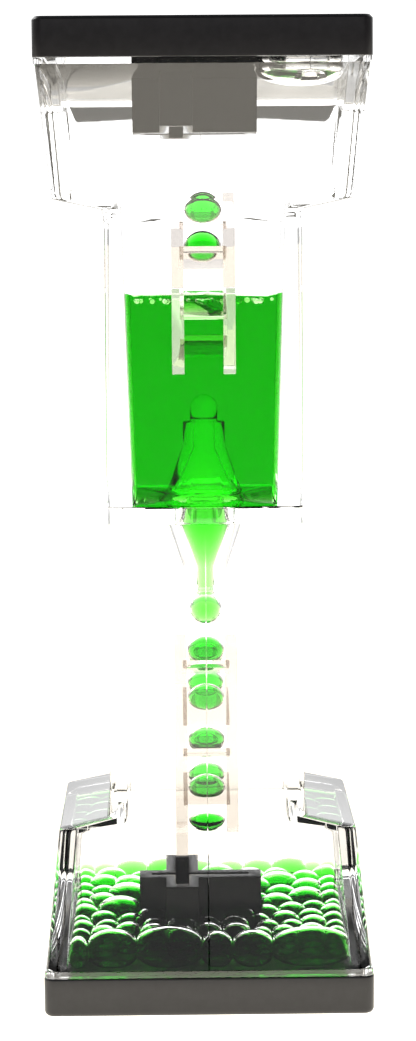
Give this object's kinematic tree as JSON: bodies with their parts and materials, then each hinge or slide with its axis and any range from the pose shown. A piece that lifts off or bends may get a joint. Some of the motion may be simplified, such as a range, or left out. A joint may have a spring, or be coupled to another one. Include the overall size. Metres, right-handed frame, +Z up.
{
  "type": "liquid motion timer",
  "caption": "Clear waisted square tower with a black cap at each end, nozzles in a middle partition and zigzag ladders, holding green dyed water in clear oil.",
  "frame": {"origin": "centre of the face it stands on", "axes": "+Z up through the tower; -Y faces the viewer, on the side of the lower nozzle; +X to the viewer's right"},
  "size_m": [0.05, 0.05, 0.15],
  "materials": {
    "cap_plastic": "satin black moulded styrene",
    "inner_black_plastic": "gloss black moulded styrene, seen through the liquid",
    "clear_plastic": "clear moulded styrene, polished",
    "ladder_plastic": "clear moulded styrene with drawn edges",
    "green_liquid": "green dyed water"
  },
  "bodies": {
    "housing": {"green_pool": "green_liquid", "lower_cap": "cap_plastic", "lower_end_plate": "inner_black_plastic", "lower_fill_plug": "inner_black_plastic", "lower_ladder_left_rail": "ladder_plastic", "lower_ladder_ramp_1": "ladder_plastic", "lower_ladder_ramp_2": "ladder_plastic", "lower_ladder_ramp_3": "ladder_plastic", "lower_ladder_ramp_4": "ladder_plastic", "lower_ladder_right_rail": "ladder_plastic", "lower_nozzle": "clear_plastic", "lower_shell": "clear_plastic", "partition": "clear_plastic", "settled_drops": "green_liquid", "upper_cap": "cap_plastic", "upper_end_plate": "inner_black_plastic", "upper_fill_plug": "inner_black_plastic", "upper_ladder_left_rail": "ladder_plastic", "upper_ladder_ramp_1": "ladder_plastic", "upper_ladder_ramp_2": "ladder_plastic", "upper_ladder_ramp_3": "ladder_plastic", "upper_ladder_ramp_4": "ladder_plastic", "upper_ladder_right_rail": "ladder_plastic", "upper_nozzle": "clear_plastic", "upper_ramp_3_drop": "green_liquid", "upper_ramp_4_drop": "green_liquid", "upper_shell": "clear_plastic"},
    "hanging_drop": {"hanging_drop": "green_liquid"},
    "lower_ramp_1_drops": {"lower_ramp_1_drop_a": "green_liquid", "lower_ramp_1_drop_b": "green_liquid"},
    "lower_ramp_2_drops": {"lower_ramp_2_drop_a": "green_liquid", "lower_ramp_2_drop_b": "green_liquid"},
    "lower_ramp_3_drops": {"lower_ramp_3_drop_a": "green_liquid", "lower_ramp_3_drop_b": "green_liquid"},
    "lower_ramp_4_drops": {"lower_ramp_4_drop_a": "green_liquid", "lower_ramp_4_drop_b": "green_liquid"}
  },
  "joints": [
    {"name": "hanging_drop_fall", "type": "slide", "parent": "housing", "child": "hanging_drop", "axis": [0, 0, -1], "range_m": [0, 0.0017]},
    {"name": "lower_ramp_1_drops_slide", "type": "slide", "parent": "housing", "child": "lower_ramp_1_drops", "axis": [0, 0.9781, -0.2079], "range_m": [-0.0023, 0.0019]},
    {"name": "lower_ramp_2_drops_slide", "type": "slide", "parent": "housing", "child": "lower_ramp_2_drops", "axis": [0, -0.9781, -0.2079], "range_m": [-0.0005, 0.0051]},
    {"name": "lower_ramp_3_drops_slide", "type": "slide", "parent": "housing", "child": "lower_ramp_3_drops", "axis": [0, 0.9781, -0.2079], "range_m": [-0.0035, 0.0026]},
    {"name": "lower_ramp_4_drops_slide", "type": "slide", "parent": "housing", "child": "lower_ramp_4_drops", "axis": [0, -0.9781, -0.2079], "range_m": [-0.0031, 0.0034]}
  ]
}
